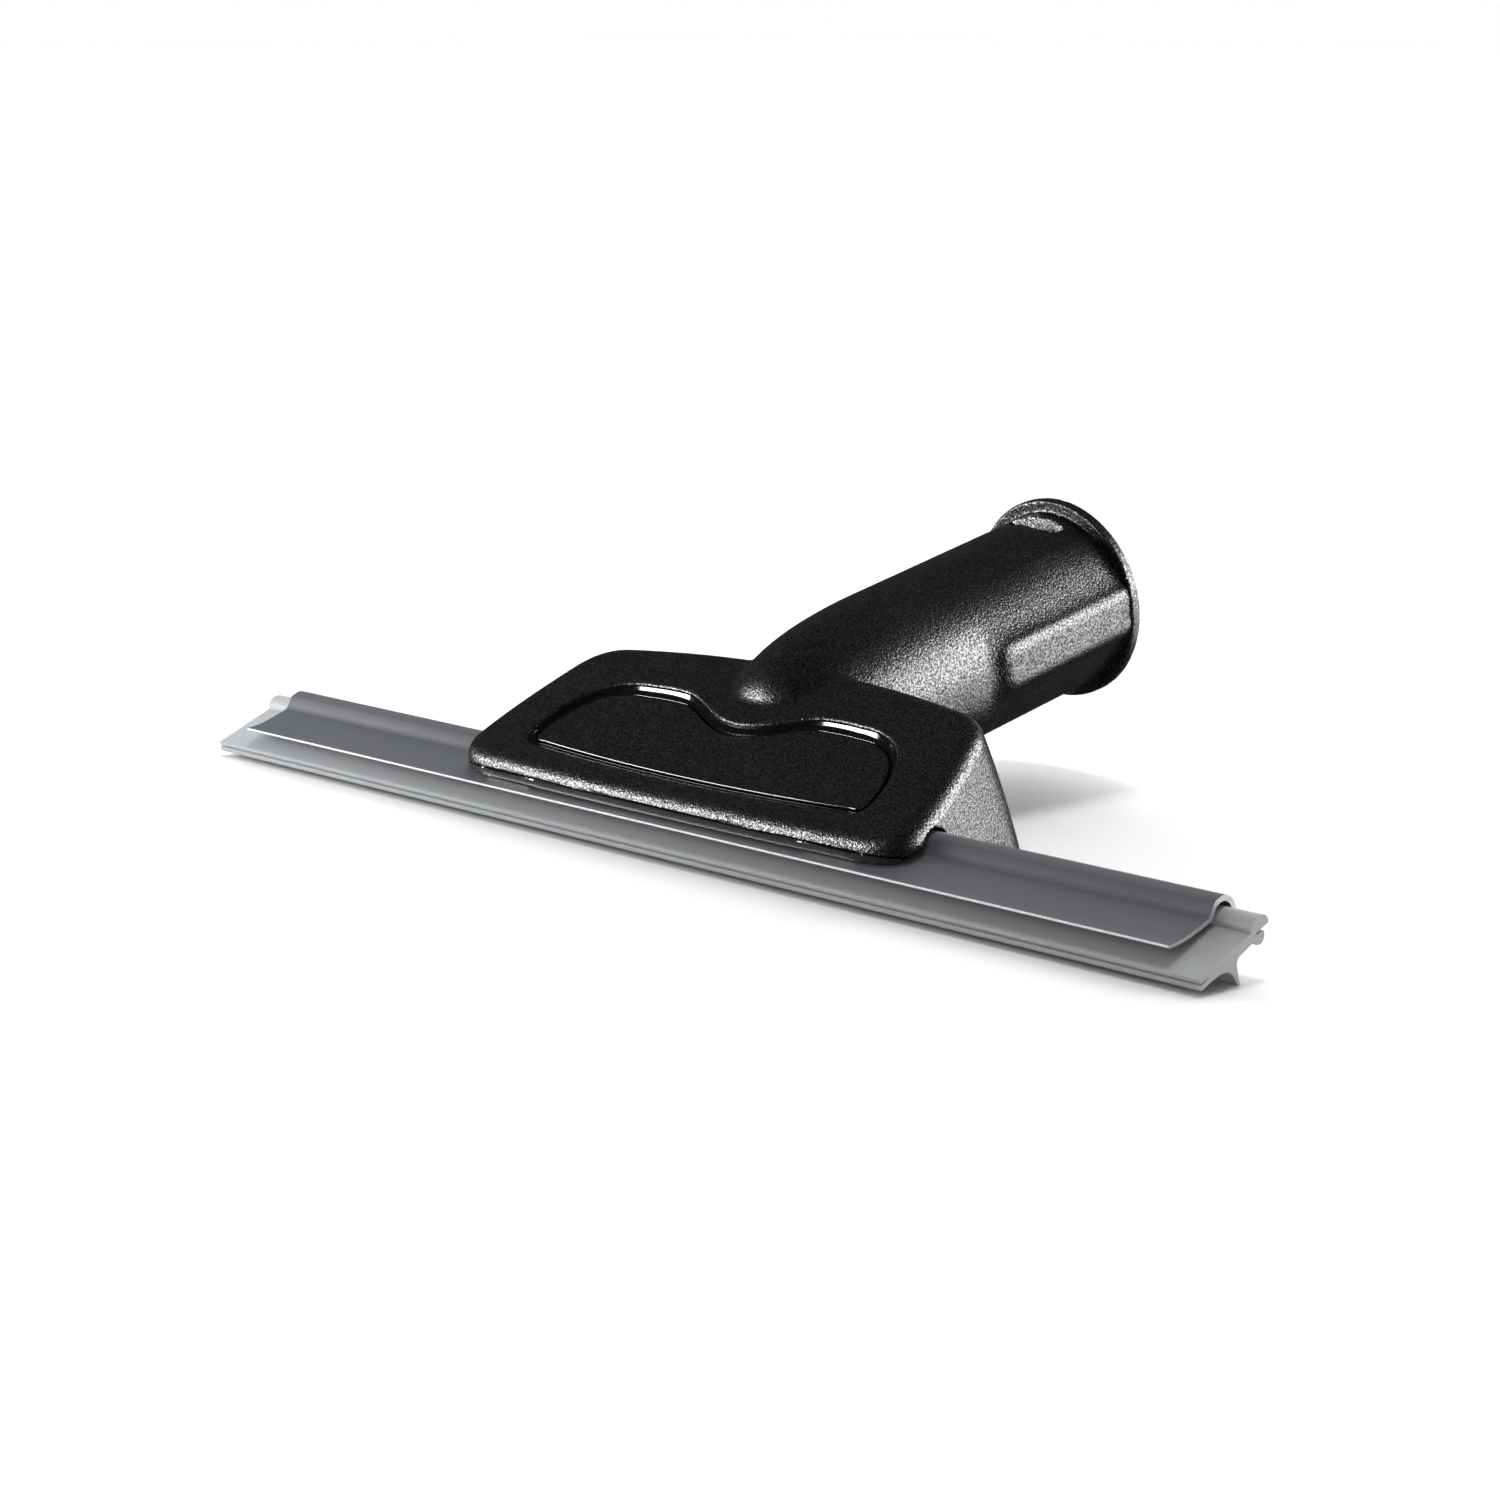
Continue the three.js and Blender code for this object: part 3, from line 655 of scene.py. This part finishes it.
carrier = moulded("rail_carrier_body", rail_carrier_distance,
                  (-64, 3.0, -3.0), (64, 33.5, 24.0), 0.5, SMOOTH)
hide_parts("rail_carrier")

diffuser = moulded("steam_diffuser_plate", steam_diffuser_distance,
                   (-62, 23, 4.2), (62, 61, 7.7), 0.5, SMOOTH)
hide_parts("steam_diffuser")


def ring_normals(ring):
    """Outward directions at the points of an anticlockwise ring."""
    along = np.roll(ring, -1, axis=0) - np.roll(ring, 1, axis=0)
    along /= np.linalg.norm(along, axis=1, keepdims=True)
    return np.stack([along[:, 1], -along[:, 0]], 1)


def narrowed_ring(ring, distance):
    """The ring moved inwards by a distance, less where it faces sideways."""
    outwards = ring_normals(ring)
    move = distance * (1 - END_NARROWING * np.abs(outwards[:, :1]))
    return ring - outwards * move


def on_plate(points):
    """Plate coordinates x, a, n to the blade's frame."""
    x, a, n = np.asarray(points, float).T
    c, k = math.cos(PLATE_PITCH), math.sin(PLATE_PITCH)
    return np.stack([x, PLATE_Y + a * c - n * k, PLATE_Z + a * k + n * c], 1)


def even_ring(outline, count):
    """The outline's points spread evenly along it."""
    closed = np.vstack([outline, outline[:1]])
    length = np.concatenate([[0], np.cumsum(np.linalg.norm(np.diff(closed, axis=0), axis=1))])
    at = np.linspace(0, length[-1], count, endpoint=False)
    return np.stack([np.interp(at, length, closed[:, i]) for i in (0, 1)], 1)


def swept_ring(name, outline, profile, material, sink=0.0):
    """A closed section, given as (outwards, height) points, swept round an outline on the plate.
    Sink lowers the section's outer side where the outline dips in front of the nose."""
    count = RING_POINTS
    ring = even_ring(outline, count)
    outwards = ring_normals(ring)
    dip = sink * np.exp(-(ring[:, 0] / 14) ** 4) * (ring[:, 1] > 5)
    narrow = 1 - END_NARROWING * np.abs(outwards[:, :1])
    rows = []
    for out, height in profile:
        level = ring + outwards * out * (narrow if out < 0 else 1)
        share = np.clip(1 + out / INSET_BEVEL, 0, 1)
        rows.append(np.column_stack([level, height - dip * share]))
    vertices = in_metres(on_plate(np.vstack(rows)))
    faces = []
    turns = len(profile)
    for k in range(turns):
        for i in range(count):
            j, m = (i + 1) % count, (k + 1) % turns
            faces.append((k * count + i, k * count + j, m * count + j, m * count + i))
    piece = add_mesh(name, vertices, faces, material)
    piece.data.set_sharp_from_angle(angle=CREASE_ANGLE)
    return piece


lip_profile = [(1.1, -0.4), (1.1, 0.006), (0.9, 0.006)]
lip_profile += arc((0.72, -0.8), 0.8, 90, 165, 9) + [(-0.07, -1.5), (0.6, -1.5)]
lip = swept_ring("recess_lip", inset_outline(), lip_profile, BLACK)
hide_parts("hood_shell")

border_profile = [(0.3, -0.6), (0.1, -0.35), (-0.1, -0.35), (-0.22, -0.41), (-0.42, -0.58),
                  (-0.8, -0.96), (-1.1, -1.24), (-1.3, -1.34), (-1.7, -1.4), (-2.15, -1.45),
                  (-2.25, -1.55), (-2.28, -2.25), (0.3, -2.25)]
border = swept_ring("recess_border", inset_outline(), border_profile, GLOSS, sink=0.8)
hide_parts("hood_shell")


def inset_panel():
    """The panel in the inset: flat and textured, with a glossy edge that rolls into the gap."""
    count = RING_POINTS
    outline = narrowed_ring(even_ring(inset_outline(), count), INSET_BEVEL)
    outwards = ring_normals(outline)
    bottom = -INSET_DEPTH - PANEL_THICKNESS
    edge = -GAP
    levels = [(edge, bottom), (edge, -INSET_DEPTH - 0.3), (edge - 0.04, -INSET_DEPTH - 0.16),
              (edge - 0.12, -INSET_DEPTH - 0.05), (edge - 0.26, -INSET_DEPTH),
              (edge - 0.8, -INSET_DEPTH + 0.02)]
    mesh = bmesh.new()
    made = []
    for out, height in levels:
        ring = np.column_stack([outline + outwards * out, np.full(count, height)])
        made.append([mesh.verts.new(p) for p in in_metres(on_plate(ring))])
    for low, high in zip(made, made[1:]):
        for i in range(count):
            j = (i + 1) % count
            mesh.faces.new((low[i], low[j], high[j], high[i]))
    mesh.faces.new(made[0][::-1])
    mesh.faces.new(made[-1])
    bmesh.ops.triangulate(mesh, faces=[f for f in mesh.faces if len(f.verts) > 4])
    data = bpy.data.meshes.new("inset_panel_plate")
    mesh.to_mesh(data)
    mesh.free()
    data.polygons.foreach_set("use_smooth", [True] * len(data.polygons))
    data.materials.append(BLACK)
    data.materials.append(GLOSS)
    glossy_faces = count * (len(levels) - 2)
    for face in data.polygons:
        face.material_index = 1 if face.index < glossy_faces else 0
    piece = bpy.data.objects.new("inset_panel_plate", data)
    bpy.context.scene.collection.objects.link(piece)
    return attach(piece, "nozzle")


panel = inset_panel()
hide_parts("inset_panel")


# ---------------------------------------------------------------- rail and blade

STATIONS = 29
CORNER_ANGLE = math.radians(25)


def rounded(points, radius, steps=3):
    """A closed ring of points with each corner replaced by a small arc."""
    points = [np.array(p, float) for p in points]
    result = []
    for i, corner in enumerate(points):
        before = points[i - 1] - corner
        after = points[(i + 1) % len(points)] - corner
        lb, la = np.linalg.norm(before), np.linalg.norm(after)
        turn = math.pi - math.acos(np.clip(before @ after / (lb * la), -1, 1))
        if turn < CORNER_ANGLE:
            result.append(corner)
            continue
        back = min(radius, 0.45 * lb, 0.45 * la)
        start, end = corner + before / lb * back, corner + after / la * back
        for t in np.linspace(0, 1, steps + 1):
            result.append((1 - t) ** 2 * start + 2 * t * (1 - t) * corner + t * t * end)
    return np.array(result)


def smooth_through(points, steps=4):
    """A Catmull-Rom curve through an open row of points."""
    p = [np.array(q, float) for q in points]
    p = [2 * p[0] - p[1], *p, 2 * p[-1] - p[-2]]
    result = []
    for i in range(1, len(p) - 2):
        for t in np.linspace(0, 1, steps, endpoint=False):
            result.append(0.5 * (2 * p[i] + (p[i + 1] - p[i - 1]) * t
                                 + (2 * p[i - 1] - 5 * p[i] + 4 * p[i + 1] - p[i + 2]) * t * t
                                 + (3 * p[i] - p[i - 1] - 3 * p[i + 1] + p[i + 2]) * t ** 3))
    return result + [p[-2]]


def run_along_x(name, section, half, material, body, highlight=None):
    """A section swept along X, with flat square ends. With a highlight material, the ends and the
    top rounding of the sheet's front edge take it as a painted highlight."""
    section = np.asarray(section, float)
    following = np.roll(section, -1, axis=0)
    area = np.sum(section[:, 0] * following[:, 1] - following[:, 0] * section[:, 1])
    if area < 0:
        section = section[::-1]
    count = len(section)
    stations = np.linspace(-half, half, STATIONS)
    rows = [np.column_stack([np.full(count, x), section]) for x in stations]
    faces = []
    for k in range(len(stations) - 1):
        for i in range(count):
            j = (i + 1) % count
            faces.append((k * count + i, k * count + j, (k + 1) * count + j, (k + 1) * count + i))
    flat = tessellate_polygon([[Vector((y, z, 0)) for y, z in section]])
    last = (len(stations) - 1) * count
    sides = len(faces)
    for a, b, c in flat:
        (ya, za), (yb, zb), (yc, zc) = section[a], section[b], section[c]
        if (yb - ya) * (zc - za) - (zb - za) * (yc - ya) < 0:
            b, c = c, b
        faces += [(c, b, a), (last + a, last + b, last + c)]

    piece = add_mesh(name, in_metres(np.vstack(rows)), faces, material, body)
    smooth = [k < sides for k in range(len(piece.data.polygons))]
    piece.data.polygons.foreach_set("use_smooth", smooth)
    piece.data.set_sharp_from_angle(angle=CREASE_ANGLE)
    if highlight is not None:
        piece.data.materials.append(highlight)
        c, k = math.cos(BLADE_PITCH), math.sin(BLADE_PITCH)
        for face in piece.data.polygons:
            _, y, z = (np.array(face.center) - ORIGIN) / MM
            # The top rounding of the sheet's front edge, which takes the painted highlight.
            front = y * c + z * k < HIGHLIGHT_EDGE_S and z * c - y * k > HIGHLIGHT_EDGE_N
            face.material_index = 1 if front or face.index >= sides else 0
    return piece


def rail_section():
    top = smooth_through(RAIL_TOP[:5], 3) + [RAIL_TOP[5], RAIL_TOP[6], RAIL_TOP[7]]
    outer = arc(HOOK_CENTRE, HOOK_RADIUS, 76, -50, 22)
    inner = arc(HOOK_CENTRE, HOOK_RADIUS - RAIL_SHEET, -50, 90, 22)
    under = [(16.9, 2.5), (16.1, 1.6), (15.0, 0.85)]
    under += smooth_through([(12, 0.95), (8.55, 1.3), (5.8, 1.8), (3.0, 2.6)], 3)
    section = [blade_point(s, n) for s, n in [*top, *outer, *inner, *under]]
    return rounded(section, 0.42, 5)


def blade_section():
    slit = [(0, -0.85), (2.6, -1.0), (-0.3, -1.15)]
    thickness = 2.1
    fin = smooth_through([(5.2, -2.25), (7.1, -3.0), (8.2, -4.5), (8.75, -6.74)], 4)
    fin_back = smooth_through([(9.3, -6.95), (9.45, -4.8), (9.75, -3.0), (10.6, -thickness)], 4)
    lower_bead = arc((16.75, -1.65), 1.55, 190, 372, 14)
    slot = [(16.2, -1.05), (16.2, -0.7), (20, -0.7)]
    upper_bead = [(17.6 + (s - 17.6) * 1.2, n * 0.9) for s, n in arc((17.6, 0), 2.0, 0, 180, 16)]
    section = [(0, 0), *slit, (-0.4, -thickness), (3.0, -thickness), *fin, *fin_back,
               *lower_bead, *slot, *upper_bead]
    return rounded([blade_point(s, n) for s, n in section], 0.14)


# The rail's front-edge rounding and its ends carry a painted highlight.
rail = run_along_x("clamp_rail_profile", rail_section(), RAIL_HALF, RAIL, "nozzle", RAIL_HIGHLIGHT)
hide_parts("clamp_rail")

rubber = run_along_x("rubber_blade_profile", blade_section(), BLADE_HALF, RUBBER, "blade")
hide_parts("rubber_blade")


# ---------------------------------------------------------------- seal and screws

def seal_ring():
    """Round ring with a faint parting line along its outside."""
    turns, around = 120, 20
    centre_radius, wire = 17.02, 1.1
    c, k = math.cos(SOCKET_PITCH), math.sin(SOCKET_PITCH)
    vertices, faces = [], []
    for i in range(turns):
        t = 2 * math.pi * i / turns
        for j in range(around):
            p = 2 * math.pi * j / around
            swell = wire + 0.04 * math.exp(-(min(p, 2 * math.pi - p) / 0.16) ** 2)
            r = centre_radius + swell * math.cos(p)
            along = GROOVE_ALONG + swell * math.sin(p)
            x, up = r * math.cos(t), r * math.sin(t)
            vertices.append((x, SOCKET_Y + along * c - up * k, SOCKET_Z + along * k + up * c))
            a, b = i * around + j, i * around + (j + 1) % around
            ahead = ((i + 1) % turns) * around
            faces.append((a, b, ahead + (j + 1) % around, ahead + j))
    return add_mesh("socket_seal_ring", in_metres(vertices), faces, SEAL)


seal = seal_ring()
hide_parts("socket_seal")


def screw_distance(x, y, z):
    """A pan-head tapping screw, head down, with its bearing face at z = 0."""
    r = np.hypot(x, y)
    turn = np.arctan2(y, x) / (2 * math.pi)
    pitch = 1.25
    crest = np.abs(((z / pitch - turn) % 1) - 0.5) * 2
    thread = 1.12 + 0.42 * np.clip(1.6 * crest - 0.6, 0, 1)
    taper = np.clip((10.2 - z) / 1.6, 0, 1)
    shank = meet(r - thread * taper, z - 10.2, -0.5 - z) * 0.7
    head = meet(round_meet(r - 2.75, z, 0.2), np.hypot(r * 0.62, z - 0.6) - 2.45)
    arm = union(meet(np.abs(x) - 1.5, np.abs(y) - 0.3), meet(np.abs(y) - 1.5, np.abs(x) - 0.3))
    recess = meet(arm, z + 0.8)
    return meet(union(shank, head), -recess)


def screws():
    vertices, quads, slopes = surface_of(screw_distance,
                                         (-3.2, -3.2, -2.4), (3.2, 3.2, 10.6), 0.16)
    at = [(CARRIER_SCREW, LUG_BOTTOM - GAP, "carrier_screw"),
          (DIFFUSER_SCREWS[0], DIFFUSER_Z - GAP, "diffuser_screw_front"),
          (DIFFUSER_SCREWS[1], DIFFUSER_Z - GAP, "diffuser_screw_rear")]
    for (x, y), z, name in at:
        for side, word in ((-1, "left"), (1, "right")):
            moved = vertices + (side * x, y, z)
            piece = add_mesh(f"{name}_{word}_steel", in_metres(moved), quads, STEEL)
            shade_by_slope(piece.data, slopes)
            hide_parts(f"{name}_{word}")


screws()


# ---------------------------------------------------------------- floor, light, camera

def floor():
    """The floor shows in no reflection and casts no shadow, so the low lamps reach the object."""
    data = bpy.data.meshes.new("floor")
    size = 12.0
    corners = [(-size, -size, 0), (size, -size, 0), (size, size, 0), (-size, size, 0)]
    data.from_pydata(corners, [], [(0, 1, 2, 3)])
    piece = bpy.data.objects.new("floor", data)
    bpy.context.scene.collection.objects.link(piece)
    piece.visible_glossy = False
    piece.visible_shadow = False
    material, _, _ = shader("floor_white", (0.71, 0.71, 0.71), 0.8, specular=0.0)
    data.materials.append(material)


floor()


def add_lamp(name, kind, direction, distance, energy):
    """A lamp seen from the object in the given direction, facing it."""
    target = Vector((0, 0, 0.02))
    away = Vector(direction).normalized()
    light = bpy.data.lights.new(name, kind)
    light.energy = energy
    lamp = bpy.data.objects.new(name, light)
    lamp.location = target + away * distance
    lamp.rotation_euler = (-away).to_track_quat("-Z", "Y").to_euler()
    bpy.context.scene.collection.objects.link(lamp)
    return lamp


def softbox(name, direction, distance, width, height, power):
    lamp = add_lamp(name, "AREA", direction, distance, power)
    lamp.data.shape = "RECTANGLE"
    lamp.data.size, lamp.data.size_y = width, height
    return lamp


# The boxes show only in reflections. The fill, the suns and the world light the surfaces.
for name, direction, width, height, power in (
        ("front_left_box", (-0.72, -0.68, 0.11), 0.46, 0.44, 24),
        ("right_rear_box", (0.70, 0.66, 0.25), 1.7, 0.7, 54),
        ("right_low_box", (0.68, 0.70, -0.24), 1.7, 0.62, 14),
        ("right_high_box", (0.66, 0.5, 0.48), 1.4, 0.4, 5)):
    box = softbox(name, direction, 1.3, width, height, power)
    box.visible_diffuse = False
fill = softbox("front_left_fill", (-0.88, -0.45, 0.05), 0.5, 0.3, 0.3, 4.5)
fill.visible_glossy = False


def sun(name, direction, strength, spread):
    """A wide patch of sky that lights surfaces and is not seen in their reflections."""
    lamp = add_lamp(name, "SUN", direction, 3, strength)
    lamp.data.angle = math.radians(spread)
    lamp.visible_glossy = False


sun("rear_key", (-0.2, 0.24, 0.95), 1.5, 16)
sun("rear_sky", (-0.35, 0.75, 0.42), 5.1, 60)


def world():
    """White behind the object and for soft light, with little of it left for reflections."""
    made = bpy.data.worlds.new("studio")
    bpy.context.scene.world = made
    made.use_nodes = True
    tree = made.node_tree
    path = tree.nodes.new("ShaderNodeLightPath")
    soft = tree.nodes["Background"]
    dim = tree.nodes.new("ShaderNodeBackground")
    seen = tree.nodes.new("ShaderNodeBackground")
    for background, strength in ((soft, 0.28), (dim, 0.03), (seen, 1.0)):
        background.inputs["Color"].default_value = (1, 1, 1, 1)
        background.inputs["Strength"].default_value = strength
    glossy = tree.nodes.new("ShaderNodeMixShader")
    tree.links.new(path.outputs["Is Glossy Ray"], glossy.inputs[0])
    tree.links.new(soft.outputs[0], glossy.inputs[1])
    tree.links.new(dim.outputs[0], glossy.inputs[2])
    mix = tree.nodes.new("ShaderNodeMixShader")
    tree.links.new(path.outputs["Is Camera Ray"], mix.inputs[0])
    tree.links.new(glossy.outputs[0], mix.inputs[1])
    tree.links.new(seen.outputs[0], mix.inputs[2])
    tree.links.new(mix.outputs[0], tree.nodes["World Output"].inputs["Surface"])


world()

# The camera was fitted to the photograph.
camera_data = bpy.data.cameras.new("camera")
camera_data.lens = 85.2
camera_data.sensor_width = 36
camera = bpy.data.objects.new("camera", camera_data)
camera.location = (0.5028, -0.52858, 0.16579)
camera.rotation_euler = (math.radians(78.13), 0, math.radians(45.51))
bpy.context.scene.collection.objects.link(camera)
bpy.context.scene.camera = camera
bpy.context.scene.view_settings.view_transform = "Standard"
